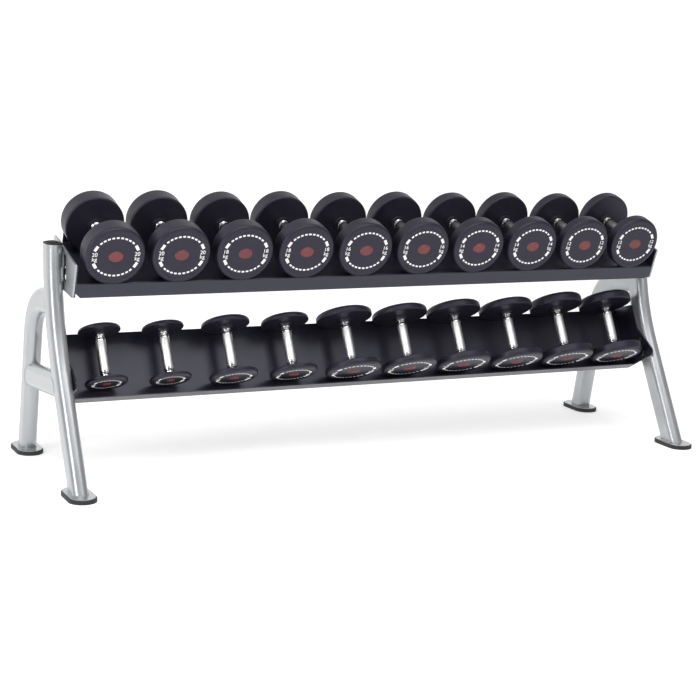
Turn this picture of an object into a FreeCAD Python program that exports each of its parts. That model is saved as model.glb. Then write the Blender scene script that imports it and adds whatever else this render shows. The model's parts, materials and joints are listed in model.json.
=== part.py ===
import FreeCAD, Part
import math
import os

# Two-tier dumbbell rack with twenty round dumbbells. Millimetres.
# +X runs along the length, +Y to the back, +Z up. The origin is on the floor,
# midway between the two end frames and between the front and rear feet.

# ---- end frames ----
FRAME_SPACING = 2000.0        # between the middle planes of the two end frames
FOOT_SPACING = 546.0          # front foot centre to rear foot centre
LEG_TOP = 667.0               # top of the front leg's tube, under its cap
TUBE_THICK = 46.0             # flat-oval tube, across the frame (X)
TUBE_DEEP = 75.0              # flat-oval tube, in the plane of the frame
TUBE_WALL = 2.5
FRONT_CORNER_HEIGHT = 469.0   # where the front leg's two straight lines would meet
FRONT_BEND_RADIUS = 700.0
REAR_LEAN = 10.2              # degrees from vertical, lower part of the rear leg
REAR_BEND_RADIUS = 140.0
REAR_JOIN_HEIGHT = 500.0      # where the rear leg's line meets the front leg's
REAR_JOIN_RISE = 6.0          # degrees above horizontal at that joint
BRACE_REAR_HEIGHT = 246.0
BRACE_FRONT_HEIGHT = 279.0
SPARE_LENGTH = 200.0          # bar beyond a leg's end, trimmed off level

# ---- caps in the tops of the front legs ----
CAP_FLANGE = 4.0
CAP_FLANGE_ROUND = 2.4
CAP_DOME_SHARE = 0.6          # raised middle, against the tube's outline
CAP_DOME = 3.0
CAP_DOME_ROUND = 2.7
CAP_PLUG_DEPTH = 14.0
CAP_CLEARANCE = 0.15

# ---- feet ----
PAD_WIDTH = 80.0
PAD_LENGTH = 146.0
PAD_HEIGHT = 12.0
PAD_FLOOR = 8.0               # rubber under the foot plate
PAD_RIM = 3.5                 # rubber around the foot plate
PAD_ROUND = 1.8
FOOT_PLATE_THICK = 6.0

# ---- upper tray ----
UPPER_EDGE_AHEAD = 102.8      # front edge, ahead of the front leg's middle line
UPPER_EDGE_Z = 528.0          # lower edge of the front flange
UPPER_TILT = 18.0
UPPER_FLANGE = 44.0
UPPER_DEPTH = 266.0
UPPER_REAR_LIP = 30.0         # turned up, stops the rear heads
UPPER_LIP_INSET = 32.0        # the lip stops short of the tray's ends
UPPER_FLANGE_CHAMFER = 14.0

# ---- lower tray ----
LOWER_EDGE_BEHIND = 122.7     # corner of panel and lip, behind the leg's middle line
LOWER_EDGE_Z = 207.5
LOWER_TILT = 61.0
LOWER_LIP = 46.0
LOWER_CREASE = 173.0          # along the panel, up to its shallow fold
LOWER_TOP_BAND = 35.0         # panel above the fold
LOWER_BAND_BACK = 2.0         # degrees that the band leans back beyond the panel

# ---- sheet metal ----
SHEET = 3.0
BEND_INNER = 2.0
SHALLOW_FOLD = 5.0            # folds of fewer degrees than this have no bend radius
CORNER_RADIUS = 8.0

# ---- end plates of the trays ----
END_PLATE = 4.0
UPPER_END_HEIGHT = 100.0      # across the upper tray
UPPER_END_DEPTH = 216.0
UPPER_END_FALL = 12.0         # lower at the back than at the front
UPPER_END_REAR_LOW = 14.0     # its lower rear corner
UPPER_END_KNEE = 156.0        # along the lower edge, up to where it starts to rise
LOWER_END_WIDTH = 104.0       # across the lower panel
LOWER_END_ARM = 158.0         # the foot that reaches over the leg
LOWER_END_TOE = 16.0
LOWER_END_TOE_DROP = 6.0
LOWER_END_SHOULDER = 104.0    # along the panel, where the arm ends
LOWER_END_TOP = 190.0
LOWER_END_NOSE = 22.0

# ---- brackets welded to the legs beside the upper end plates ----
BRACKET = 5.0
BRACKET_MARGIN = 2.0          # above the end plate's front corner
BRACKET_REACH = 222.0         # along the upper tray, to its rear corner
BRACKET_FALL = 10.0           # lower at the back than at the front
BRACKET_UNDER_RISE = 7.0      # degrees, its lower edge
SLOT_AHEAD = 17.0             # slot, ahead of the leg's front face
SLOT_BEHIND = 22.0            # slot, covered by the leg
SLOT_TOP_MARGIN = 12.0
SLOT_LOW_MARGIN = 8.0         # above the line of the tray's lower edge
SLOT_CORNER = 6.0

# ---- bolts ----
UPPER_BOLT_LEVELS = (72.0, 22.0)    # square to the upper tray; both on the leg's middle
LOWER_BOLT_PLACES = (20.0, 64.0)    # along the lower panel; both on the leg's middle
BOLT_DIAMETER = 10.0
BOLT_CLEARANCE = 0.5
BOLT_HEAD_DIAMETER = 20.0
BOLT_HEAD_HEIGHT = 5.5
BOLT_HEAD_ROUND = 2.7
BOLT_SOCKET = 6.0
BOLT_SOCKET_DEPTH = 3.3
WASHER_DIAMETER = 22.0
WASHER_THICK = 2.0
INSERT_DIAMETER = 13.0
INSERT_LENGTH = 15.0
INSERT_BEAD_DIAMETER = 17.0
INSERT_BEAD_LENGTH = 3.0
BOLT_SHORT_OF_INSERT = 2.0

# ---- dumbbells ----
PER_TIER = 10
HEAD_RADIUS = 87.0
END_ROOM = 12.5               # from the end plate to the outermost head
LOWER_ROW_CENTRE = 8.5
REST_GAP = 0.3
GRIP_LENGTH = 146.0           # between the two heads
GRIP_DIAMETER = 29.0
GRIP_SWELL = 31.0             # middle of the grip
GRIP_SHOULDER = 3.0
NECK_DIAMETER = 23.0
NECK_LENGTH = 7.0
COLLAR_DIAMETER = 30.0
COLLAR_LENGTH = 6.0
COLLAR_CHAMFER = 1.0
BOSS_DIAMETER = 44.0
BOSS_LENGTH = 6.0
BOSS_TAPER = 1.5
FACE_ROUND = 10.0             # rounding between a head's end face and its side
FACE_ROUND_SHARE = 0.6        # most of a thin head's thickness that it may take
INNER_ROUND = 5.0             # rounding between the inner face and the side
INNER_ROUND_SHARE = 0.25
RUBBER_COVER = 4.0            # rubber over the steel core
DISH_DEPTH = 1.2              # round dish in the end face
DISH_SLOPE = 1.8
DISH_RIM = 16.0               # from the head's side to the dish
# each pair of dumbbells, left to right: head radius, head thickness, and place of the
# front face along the tray's slope
UPPER_PAIRS = [(HEAD_RADIUS, thick, -14.0) for thick in (59.0, 53.0, 48.0, 43.0, 37.0)]
LOWER_PAIRS = [(62.0, 12.0, 32.0), (73.0, 17.0, 24.0), (HEAD_RADIUS, 22.0, 18.0),
               (HEAD_RADIUS, 25.0, 18.0), (HEAD_RADIUS, 30.0, 18.0)]

# ---- derived ----
HALF_SPACING = FRAME_SPACING / 2.0
HALF_FEET = FOOT_SPACING / 2.0
LEG_INNER = HALF_SPACING - TUBE_THICK / 2.0
UPPER_TRAY_HALF = LEG_INNER - BRACKET - END_PLATE
LOWER_TRAY_HALF = LEG_INNER - END_PLATE
PLATE_TOP = PAD_FLOOR + FOOT_PLATE_THICK
FRONT_LEAN = math.atan2(HALF_FEET, FRONT_CORNER_HEIGHT)
FRONT_REACH = FRONT_BEND_RADIUS * math.tan(FRONT_LEAN / 2.0)
PITCH = 2.0 * (UPPER_TRAY_HALF - END_ROOM - HEAD_RADIUS) / (PER_TIER - 1)
OUTER = (TUBE_THICK / 2.0, TUBE_DEEP / 2.0)
INNER = (TUBE_THICK / 2.0 - TUBE_WALL, TUBE_DEEP / 2.0 - TUBE_WALL)

OVERCUT = 1.0                 # cutters run past the faces they open
NEAR = 0.01                   # edges this close to a place belong to it
SOLVE_STEPS = 30


def vec(x, y, z):
    return FreeCAD.Vector(x, y, z)


def export(name, solids):
    shape = solids[0] if len(solids) == 1 else Part.makeCompound(solids)
    shape.exportStep("parts/" + name + ".step")
    print(name, "solids", len(shape.Solids), "volume", round(shape.Volume))


# ---------------------------------------------------------------- outlines

def stadium_face(half_x, half_d, middle, along):
    """Flat oval: half_x each way along X, half_d each way along the unit vector."""
    side = vec(half_x, 0, 0)
    up = along * (half_d - half_x)
    tip = along * half_d
    a = middle + side - up
    b = middle + side + up
    c = middle - side + up
    d = middle - side - up
    edges = [
        Part.LineSegment(a, b).toShape(),
        Part.Arc(b, middle + tip, c).toShape(),
        Part.LineSegment(c, d).toShape(),
        Part.Arc(d, middle - tip, a).toShape(),
    ]
    return Part.Face(Part.Wire(edges))


def flat_oval_post(width, length, height, x, y, z):
    """Flat oval in plan, length along Y, standing on z."""
    face = stadium_face(width / 2.0, length / 2.0, vec(x, y, z), vec(0, 1, 0))
    return face.extrude(vec(0, 0, height))


def rounded_on_top(post, top, radius):
    edges = [edge for edge in post.Edges if edge.BoundBox.ZMin > top - NEAR]
    return post.makeFillet(radius, edges)


def polygon_plate(points, x_low, thick, radius):
    """Plate in a plane of constant X, from (y, z) corners, with rounded corners."""
    corners = [vec(x_low, y, z) for y, z in points]
    count = len(corners)
    starts = []
    ends = []
    middles = []
    for i in range(count):
        here = corners[i]
        before = corners[i - 1] - here
        after = corners[(i + 1) % count] - here
        reach = min(radius, before.Length / 2.2, after.Length / 2.2)
        before.normalize()
        after.normalize()
        half = math.acos(max(-1.0, min(1.0, before.dot(after)))) / 2.0
        bend = reach * math.tan(half)
        inward = (before + after).normalize()
        starts.append(here + before * reach)
        ends.append(here + after * reach)
        middles.append(here + inward * (bend / math.sin(half) - bend))
    edges = []
    for i in range(count):
        edges.append(Part.Arc(starts[i], middles[i], ends[i]).toShape())
        edges.append(Part.LineSegment(ends[i], starts[(i + 1) % count]).toShape())
    return Part.Face(Part.Wire(edges)).extrude(vec(thick, 0, 0))


def rod(side, start, length, radius, y, z):
    """Round bar along X, from |X| = start outwards."""
    return Part.makeCylinder(radius, length, vec(side * start, y, z), vec(side, 0, 0))


# ---------------------------------------------------------------- bent tubes

def bent_bar(x, start, corner, finish, bend_radius, half_x, half_d):
    """Solid flat-oval bar through start, a rounded corner and finish, all (y, z)."""
    a = vec(x, start[0], start[1])
    b = vec(x, corner[0], corner[1])
    c = vec(x, finish[0], finish[1])
    first = (b - a).normalize()
    second = (c - b).normalize()
    turn = math.acos(max(-1.0, min(1.0, first.dot(second))))
    reach = bend_radius * math.tan(turn / 2.0)
    in_point = b - first * reach
    out_point = b + second * reach
    sign = 1.0 if first.cross(second).x > 0 else -1.0
    first_across = vec(0, -first.z, first.y)
    second_across = vec(0, -second.z, second.y)
    centre = in_point + first_across * (sign * bend_radius)
    lower = stadium_face(half_x, half_d, a, first_across).extrude(in_point - a)
    bend = stadium_face(half_x, half_d, in_point, first_across).revolve(
        centre, vec(sign, 0, 0), math.degrees(turn))
    upper = stadium_face(half_x, half_d, out_point, second_across).extrude(c - out_point)
    return lower.fuse([bend, upper]).removeSplitter()


def straight_bar(x, start, finish, half_x, half_d):
    a = vec(x, start[0], start[1])
    c = vec(x, finish[0], finish[1])
    along = (c - a).normalize()
    return stadium_face(half_x, half_d, a, vec(0, -along.z, along.y)).extrude(c - a)


def front_leg_solid(x, half_x, half_d):
    start = (-HALF_FEET - SPARE_LENGTH * math.sin(FRONT_LEAN),
             -SPARE_LENGTH * math.cos(FRONT_LEAN))
    top = max(LEG_TOP, FRONT_CORNER_HEIGHT + FRONT_REACH) + SPARE_LENGTH
    return bent_bar(x, start, (0.0, FRONT_CORNER_HEIGHT), (0.0, top), FRONT_BEND_RADIUS,
                    half_x, half_d)


def front_leg_middle(z):
    """Y of the front leg's middle line at height z."""
    bend_end = FRONT_CORNER_HEIGHT + FRONT_REACH
    bend_start = FRONT_CORNER_HEIGHT - FRONT_REACH * math.cos(FRONT_LEAN)
    if z <= bend_start:
        return -HALF_FEET + z * math.tan(FRONT_LEAN)
    if z >= bend_end:
        return 0.0
    return -FRONT_BEND_RADIUS + math.sqrt(FRONT_BEND_RADIUS ** 2 - (bend_end - z) ** 2)


def rear_leg_solid(x, half_x, half_d):
    lean = math.radians(REAR_LEAN)
    rise = math.radians(REAR_JOIN_RISE)
    slope = math.tan(lean)
    # the lower line is y = HALF_FEET - z * slope; the upper one runs back and down
    # from the joint at the rise angle until it meets it
    run = (HALF_FEET - REAR_JOIN_HEIGHT * slope) / (math.cos(rise) - math.sin(rise) * slope)
    start = (HALF_FEET + SPARE_LENGTH * math.sin(lean), -SPARE_LENGTH * math.cos(lean))
    corner = (run * math.cos(rise), REAR_JOIN_HEIGHT - run * math.sin(rise))
    return bent_bar(x, start, corner, (0.0, REAR_JOIN_HEIGHT), REAR_BEND_RADIUS,
                    half_x, half_d)


def brace_solid(x, half_x, half_d):
    rear_y = HALF_FEET - BRACE_REAR_HEIGHT * math.tan(math.radians(REAR_LEAN))
    front_y = front_leg_middle(BRACE_FRONT_HEIGHT)
    return straight_bar(x, (rear_y, BRACE_REAR_HEIGHT), (front_y, BRACE_FRONT_HEIGHT),
                        half_x, half_d)


def end_frame(x):
    """Front leg, rear leg and brace of one end frame, each a hollow tube."""
    room = Part.makeBox(2 * TUBE_THICK, 2 * FOOT_SPACING, LEG_TOP - PLATE_TOP,
                        vec(x - TUBE_THICK, -FOOT_SPACING, PLATE_TOP))
    front_full = front_leg_solid(x, *OUTER)
    rear_full = rear_leg_solid(x, *OUTER)
    front = front_full.cut(front_leg_solid(x, *INNER)).common(room)
    rear = rear_full.cut(rear_leg_solid(x, *INNER)).common(room).cut(front_full)
    brace = brace_solid(x, *OUTER).cut(brace_solid(x, *INNER))
    brace = brace.cut(front_full).cut(rear_full)
    return front, rear, brace


# ---------------------------------------------------------------- feet and caps

def foot_places():
    return [(sx * HALF_SPACING, sy * HALF_FEET) for sx in (-1, 1) for sy in (-1, 1)]


def foot_plates():
    """Steel plates welded under the legs, held by the rims of the rubber pads."""
    return [flat_oval_post(PAD_WIDTH - 2 * PAD_RIM, PAD_LENGTH - 2 * PAD_RIM,
                           FOOT_PLATE_THICK, x, y, PAD_FLOOR) for x, y in foot_places()]


def foot_pads():
    solids = []
    for x, y in foot_places():
        body = flat_oval_post(PAD_WIDTH, PAD_LENGTH, PAD_HEIGHT, x, y, 0.0)
        pocket = flat_oval_post(PAD_WIDTH - 2 * PAD_RIM, PAD_LENGTH - 2 * PAD_RIM,
                                PAD_HEIGHT, x, y, PAD_FLOOR)
        solids.append(rounded_on_top(body, PAD_HEIGHT, PAD_ROUND).cut(pocket))
    return solids


def leg_caps():
    solids = []
    y = front_leg_middle(LEG_TOP)
    plug_z = LEG_TOP - CAP_PLUG_DEPTH
    slack = 2 * TUBE_WALL + 2 * CAP_CLEARANCE
    lean_slack = 2 * abs(y - front_leg_middle(plug_z))
    for side in (-1, 1):
        x = side * HALF_SPACING
        flange = flat_oval_post(TUBE_THICK, TUBE_DEEP, CAP_FLANGE, x, y, LEG_TOP)
        flange = rounded_on_top(flange, LEG_TOP + CAP_FLANGE, CAP_FLANGE_ROUND)
        dome = flat_oval_post(TUBE_THICK * CAP_DOME_SHARE, TUBE_DEEP * CAP_DOME_SHARE,
                              CAP_FLANGE + CAP_DOME, x, y, LEG_TOP)
        dome = rounded_on_top(dome, LEG_TOP + CAP_FLANGE + CAP_DOME, CAP_DOME_ROUND)
        plug = flat_oval_post(TUBE_THICK - slack, TUBE_DEEP - slack - lean_slack,
                              CAP_PLUG_DEPTH, x, y, plug_z)
        solids.append(flange.fuse([dome, plug]).removeSplitter())
    return solids


# ---------------------------------------------------------------- trays

class Slope:
    """Coordinates of a tilted tray: s up its slope, n square to it."""

    def __init__(self, y, z, tilt):
        self.y = y
        self.z = z
        self.cos = math.cos(math.radians(tilt))
        self.sin = math.sin(math.radians(tilt))

    def point(self, s, n):
        return (self.y + s * self.cos - n * self.sin, self.z + s * self.sin + n * self.cos)

    def at(self, x, s, n):
        y, z = self.point(s, n)
        return vec(x, y, z)

    def along(self):
        return vec(0, self.cos, self.sin)


UPPER = Slope(front_leg_middle(UPPER_EDGE_Z) - UPPER_EDGE_AHEAD, UPPER_EDGE_Z, UPPER_TILT)
LOWER = Slope(front_leg_middle(LOWER_EDGE_Z) + LOWER_EDGE_BEHIND, LOWER_EDGE_Z, LOWER_TILT)


def long_edges(solid, place, length):
    """Edges along X that pass through the place."""
    picked = []
    for edge in solid.Edges:
        box = edge.BoundBox
        if box.XLength > length and abs(box.YMin - place.y) + abs(box.ZMin - place.z) < NEAR:
            picked.append(edge)
    return picked


def bent_sheet(slope, line, half_length, inside):
    """Folded sheet from (s, n) points on one face; inside is 1 or -1, its other side."""
    points = [slope.at(-half_length, s, n) for s, n in line]
    last = len(points) - 1
    ways = [(points[i + 1] - points[i]).normalize() for i in range(last)]
    sides = [vec(0, -way.z, way.y) * inside for way in ways]
    inner = [points[0] + sides[0] * SHEET]
    for i in range(1, last):
        spread = 1.0 + sides[i - 1].dot(sides[i])
        inner.append(points[i] + (sides[i - 1] + sides[i]) * (SHEET / spread))
    inner.append(points[last] + sides[last - 1] * SHEET)
    loop = points + inner[::-1] + [points[0]]
    solid = Part.Face(Part.makePolygon(loop)).extrude(vec(2 * half_length, 0, 0))
    shallow = math.cos(math.radians(SHALLOW_FOLD))
    for i in range(1, last):
        if ways[i - 1].dot(ways[i]) >= shallow:
            continue
        closing = ways[i - 1].cross(ways[i]).x * inside > 0
        outer, hollow = (points[i], inner[i]) if closing else (inner[i], points[i])
        solid = solid.makeFillet(BEND_INNER + SHEET, long_edges(solid, outer, half_length))
        solid = solid.makeFillet(BEND_INNER, long_edges(solid, hollow, half_length))
    return solid


def upper_tray():
    line = [
        (0.0, 0.0),
        (0.0, UPPER_FLANGE),
        (UPPER_DEPTH, UPPER_FLANGE),
        (UPPER_DEPTH, UPPER_FLANGE + UPPER_REAR_LIP),
    ]
    cutters = []
    for side in (-1, 1):
        end = side * UPPER_TRAY_HALF
        corner = [
            UPPER.at(end, -OVERCUT, -NEAR),
            UPPER.at(end - side * UPPER_FLANGE_CHAMFER, -OVERCUT, -NEAR),
            UPPER.at(end, -OVERCUT, UPPER_FLANGE_CHAMFER),
        ]
        face = Part.Face(Part.makePolygon(corner + [corner[0]]))
        cutters.append(face.extrude(UPPER.along() * (SHEET + 2 * OVERCUT)))
        notch = [UPPER.at(end - side * UPPER_LIP_INSET, s, n) for s, n in (
            (UPPER_DEPTH - BEND_INNER, UPPER_FLANGE - SHEET - OVERCUT),
            (UPPER_DEPTH - BEND_INNER, UPPER_FLANGE + UPPER_REAR_LIP + OVERCUT),
            (UPPER_DEPTH + SHEET + OVERCUT, UPPER_FLANGE + UPPER_REAR_LIP + OVERCUT),
            (UPPER_DEPTH + SHEET + OVERCUT, UPPER_FLANGE - SHEET - OVERCUT))]
        face = Part.Face(Part.makePolygon(notch + [notch[0]]))
        cutters.append(face.extrude(vec(side * (UPPER_LIP_INSET + OVERCUT), 0, 0)))
    return bent_sheet(UPPER, line, UPPER_TRAY_HALF, -1).cut(cutters)


LOWER_TOP = (LOWER_CREASE + LOWER_TOP_BAND * math.cos(math.radians(LOWER_BAND_BACK)),
             -LOWER_TOP_BAND * math.sin(math.radians(LOWER_BAND_BACK)))


def lower_tray():
    line = [(0.0, LOWER_LIP), (0.0, 0.0), (LOWER_CREASE, 0.0), LOWER_TOP]
    return bent_sheet(LOWER, line, LOWER_TRAY_HALF, 1)


# ---------------------------------------------------------------- bolts

def upper_bolt(level):
    """(y, z) on the leg's middle line at this level above the upper tray's edge."""
    s = 0.0
    for _ in range(SOLVE_STEPS):
        y, z = UPPER.point(s, level)
        s += (front_leg_middle(z) - y) / UPPER.cos
    return UPPER.point(s, level)


def lower_bolt(place):
    """(y, z) on the leg's middle line at this place along the lower panel."""
    n = 0.0
    for _ in range(SOLVE_STEPS):
        y, z = LOWER.point(place, n)
        n -= (front_leg_middle(z) - y) / LOWER.sin
    return LOWER.point(place, n)


UPPER_BOLTS = [upper_bolt(level) for level in UPPER_BOLT_LEVELS]
LOWER_BOLTS = [lower_bolt(place) for place in LOWER_BOLT_PLACES]


def bolt_sites():
    """(side, y, z, |X| of the end plate's inner face) of every tray bolt."""
    sites = []
    for side in (-1, 1):
        sites += [(side, y, z, UPPER_TRAY_HALF) for y, z in UPPER_BOLTS]
        sites += [(side, y, z, LOWER_TRAY_HALF) for y, z in LOWER_BOLTS]
    return sites


def tray_bolts():
    solids = []
    for side, y, z, inner in bolt_sites():
        under_head = inner - WASHER_THICK
        crown = under_head - BOLT_HEAD_HEIGHT
        shank_end = LEG_INNER + INSERT_LENGTH - BOLT_SHORT_OF_INSERT
        shank = rod(side, under_head, shank_end - under_head, BOLT_DIAMETER / 2.0, y, z)
        head = rod(side, crown, BOLT_HEAD_HEIGHT, BOLT_HEAD_DIAMETER / 2.0, y, z)
        rim = [edge for edge in head.Edges if abs(abs(edge.BoundBox.Center.x) - crown) < NEAR]
        head = head.makeFillet(BOLT_HEAD_ROUND, rim)
        reach = BOLT_SOCKET / math.sqrt(3.0)
        points = []
        for k in range(6):
            angle = math.pi * k / 3.0
            points.append(vec(side * (crown - OVERCUT), y + reach * math.cos(angle),
                              z + reach * math.sin(angle)))
        socket = Part.Face(Part.makePolygon(points + [points[0]]))
        socket = socket.extrude(vec(side * (BOLT_SOCKET_DEPTH + OVERCUT), 0, 0))
        solids.append(head.fuse(shank).removeSplitter().cut(socket))
    return solids


def bolt_washers():
    solids = []
    for side, y, z, inner in bolt_sites():
        start = inner - WASHER_THICK
        disc = rod(side, start, WASHER_THICK, WASHER_DIAMETER / 2.0, y, z)
        hole = rod(side, start - OVERCUT, WASHER_THICK + 2 * OVERCUT,
                   (BOLT_DIAMETER + BOLT_CLEARANCE) / 2.0, y, z)
        solids.append(disc.cut(hole))
    return solids


def threaded_inserts():
    """Inserts set in the inner walls of the front legs."""
    solids = []
    for side, y, z, _ in bolt_sites():
        body = rod(side, LEG_INNER, INSERT_LENGTH, INSERT_DIAMETER / 2.0, y, z)
        bead = rod(side, LEG_INNER + TUBE_WALL, INSERT_BEAD_LENGTH,
                   INSERT_BEAD_DIAMETER / 2.0, y, z)
        bore = rod(side, LEG_INNER - OVERCUT, INSERT_LENGTH + 2 * OVERCUT,
                   BOLT_DIAMETER / 2.0, y, z)
        solids.append(body.fuse(bead).removeSplitter().cut(bore))
    return solids


def drilled(shape, side, diameter, start, thick, places):
    holes = [rod(side, start - OVERCUT, thick + 2 * OVERCUT, diameter / 2.0, y, z)
             for y, z in places]
    return shape.cut(holes)


# ---------------------------------------------------------------- end plates

def plate_from(slope, outline, side, inner):
    points = [slope.point(s, n) for s, n in outline]
    x_low = inner if side > 0 else -inner - END_PLATE
    return polygon_plate(points, x_low, END_PLATE, CORNER_RADIUS)


BRACKET_LOW = UPPER.point(0.0, 0.0)
BRACKET_HIGH = UPPER.point(0.0, UPPER_END_HEIGHT + BRACKET_MARGIN)
BRACKET_REAR = UPPER.point(BRACKET_REACH, UPPER_END_HEIGHT + BRACKET_MARGIN - BRACKET_FALL)


def slotted(plate, x_low, thick):
    """Cuts the slot that runs through bracket and end plate, just ahead of the leg."""
    rise = (BRACKET_REAR[1] - BRACKET_HIGH[1]) / (BRACKET_REAR[0] - BRACKET_HIGH[0])
    under_rise = math.tan(math.radians(UPPER_TILT))
    leg_front = front_leg_middle(LEG_TOP) - TUBE_DEEP / 2.0
    corners = []
    for y in (leg_front - SLOT_AHEAD, leg_front + SLOT_BEHIND):
        low = BRACKET_LOW[1] + (y - BRACKET_LOW[0]) * under_rise + SLOT_LOW_MARGIN
        high = BRACKET_HIGH[1] + (y - BRACKET_HIGH[0]) * rise - SLOT_TOP_MARGIN
        corners.append(((y, low), (y, high)))
    outline = [corners[0][0], corners[0][1], corners[1][1], corners[1][0]]
    return plate.cut(polygon_plate(outline, x_low - OVERCUT, thick + 2 * OVERCUT, SLOT_CORNER))


def upper_end_plate(side):
    outline = [
        (0.0, -OVERCUT),
        (0.0, UPPER_END_HEIGHT),
        (UPPER_END_DEPTH, UPPER_END_HEIGHT - UPPER_END_FALL),
        (UPPER_END_DEPTH, UPPER_END_REAR_LOW),
        (UPPER_END_KNEE, -OVERCUT),
    ]
    plate = plate_from(UPPER, outline, side, UPPER_TRAY_HALF)
    plate = slotted(plate, plate.BoundBox.XMin, END_PLATE)
    return drilled(plate, side, BOLT_DIAMETER + BOLT_CLEARANCE, UPPER_TRAY_HALF, END_PLATE,
                   UPPER_BOLTS)


def upper_bracket(side):
    """Plate welded to the leg's inner face."""
    under = math.tan(math.radians(BRACKET_UNDER_RISE))
    rear_low = BRACKET_LOW[1] + (BRACKET_REAR[0] - BRACKET_LOW[0]) * under
    outline = [BRACKET_LOW, BRACKET_HIGH, BRACKET_REAR, (BRACKET_REAR[0], rear_low)]
    start = UPPER_TRAY_HALF + END_PLATE
    x_low = start if side > 0 else -LEG_INNER
    plate = slotted(polygon_plate(outline, x_low, BRACKET, CORNER_RADIUS), x_low, BRACKET)
    return drilled(plate, side, BOLT_DIAMETER + BOLT_CLEARANCE, start, BRACKET, UPPER_BOLTS)


def lower_end_plate(side):
    outline = [
        (0.0, 0.0),
        (0.0, LOWER_END_ARM - LOWER_END_TOE_DROP),
        (LOWER_END_TOE, LOWER_END_ARM),
        (LOWER_END_SHOULDER, LOWER_END_WIDTH),
        (LOWER_END_TOP, LOWER_END_WIDTH),
        (LOWER_TOP[0], LOWER_END_NOSE),
        LOWER_TOP,
    ]
    plate = plate_from(LOWER, outline, side, LOWER_TRAY_HALF)
    return drilled(plate, side, BOLT_DIAMETER + BOLT_CLEARANCE, LOWER_TRAY_HALF, END_PLATE,
                   LOWER_BOLTS)


# ---------------------------------------------------------------- dumbbells

def line_edges(points):
    """Edges through (radius, distance along the axis) points."""
    edges = []
    for here, there in zip(points, points[1:]):
        edges.append(Part.LineSegment(vec(here[0], 0, here[1]),
                                      vec(there[0], 0, there[1])).toShape())
    return edges


def arc_edge(start, middle, finish):
    return Part.Arc(vec(start[0], 0, start[1]), vec(middle[0], 0, middle[1]),
                    vec(finish[0], 0, finish[1])).toShape()


def revolved(edges):
    return Part.Face(Part.Wire(edges)).revolve(vec(0, 0, 0), vec(0, 0, 1), 360)


def rubber_head(radius, thick):
    """Rubber head round its steel core, axis along Z, outer end face at z = 0."""
    dish = radius - DISH_RIM
    boss = BOSS_DIAMETER / 2.0
    outer = min(FACE_ROUND, FACE_ROUND_SHARE * thick)
    inner = min(INNER_ROUND, INNER_ROUND_SHARE * thick)
    corner = 1.0 - math.sqrt(0.5)
    edges = line_edges([(0, DISH_DEPTH), (dish, DISH_DEPTH), (dish + DISH_SLOPE, 0),
                        (radius - outer, 0)])
    edges.append(arc_edge((radius - outer, 0), (radius - outer * corner, outer * corner),
                          (radius, outer)))
    edges += line_edges([(radius, outer), (radius, thick - inner)])
    edges.append(arc_edge((radius, thick - inner),
                          (radius - inner * corner, thick - inner * corner),
                          (radius - inner, thick)))
    edges += line_edges([(radius - inner, thick), (boss, thick),
                         (boss - BOSS_TAPER, thick + BOSS_LENGTH),
                         (0, thick + BOSS_LENGTH), (0, DISH_DEPTH)])
    inside = vec(0, 0, RUBBER_COVER)
    core = Part.makeCylinder(radius - RUBBER_COVER, thick - 2 * RUBBER_COVER, inside)
    bore = Part.makeCylinder(NECK_DIAMETER / 2.0, thick + BOSS_LENGTH, inside)
    return revolved(edges).cut([core, bore])


def steel_bar(radius, thick):
    """Both steel cores and the chromed grip, one welded piece, axis along Z."""
    end = 2 * thick + GRIP_LENGTH
    core = radius - RUBBER_COVER
    neck = NECK_DIAMETER / 2.0
    collar = COLLAR_DIAMETER / 2.0
    grip = GRIP_DIAMETER / 2.0
    low = thick + BOSS_LENGTH
    high = low + COLLAR_LENGTH
    grip_start = high + NECK_LENGTH
    half = [
        (0, RUBBER_COVER),
        (core, RUBBER_COVER),
        (core, thick - RUBBER_COVER),
        (neck, thick - RUBBER_COVER),
        (neck, low),
        (collar - COLLAR_CHAMFER, low),
        (collar, low + COLLAR_CHAMFER),
        (collar, high - COLLAR_CHAMFER),
        (collar - COLLAR_CHAMFER, high),
        (neck, high),
        (neck, grip_start - GRIP_SHOULDER),
        (grip, grip_start),
    ]
    other = [(r, end - d) for r, d in reversed(half)]
    edges = line_edges(half)
    edges.append(arc_edge(half[-1], (GRIP_SWELL / 2.0, end / 2.0), other[0]))
    edges += line_edges(other + [half[0]])
    return revolved(edges)


def placed(solid, base, along):
    out = solid.copy()
    out.Placement = FreeCAD.Placement(base, FreeCAD.Rotation(vec(0, 0, 1), along))
    return out


def dumbbell(radius, thick, base, along):
    """Two rubber heads and a steel bar; base is the middle of the front end face."""
    far_end = base + along * (2 * thick + GRIP_LENGTH)
    head = rubber_head(radius, thick)
    heads = [placed(head, base, along), placed(head, far_end, along * -1)]
    return heads, placed(steel_bar(radius, thick), base, along)


def tier(word, slope, pairs, row_centre, seat):
    for i in range(PER_TIER):
        radius, thick, face_place = pairs[i // 2]
        x = row_centre + (i - (PER_TIER - 1) / 2.0) * PITCH
        base = slope.at(x, face_place, seat + REST_GAP + radius)
        heads, bar = dumbbell(radius, thick, base, slope.along())
        name = "dumbbell_%s%02d" % (word, i + 1)
        export(name + "_heads", heads)
        export(name + "_bar", [bar])


# ---------------------------------------------------------------- build

os.makedirs("parts", exist_ok=True)

for side, word in ((-1, "left"), (1, "right")):
    front, rear, brace = end_frame(side * HALF_SPACING)
    front = drilled(front, side, INSERT_DIAMETER, LEG_INNER, TUBE_WALL, UPPER_BOLTS + LOWER_BOLTS)
    export(word + "_front_leg", [front])
    export(word + "_rear_leg", [rear])
    export(word + "_cross_brace", [brace])
    export(word + "_upper_bracket", [upper_bracket(side)])
    export(word + "_upper_end_plate", [upper_end_plate(side)])
    export(word + "_lower_end_plate", [lower_end_plate(side)])

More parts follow.
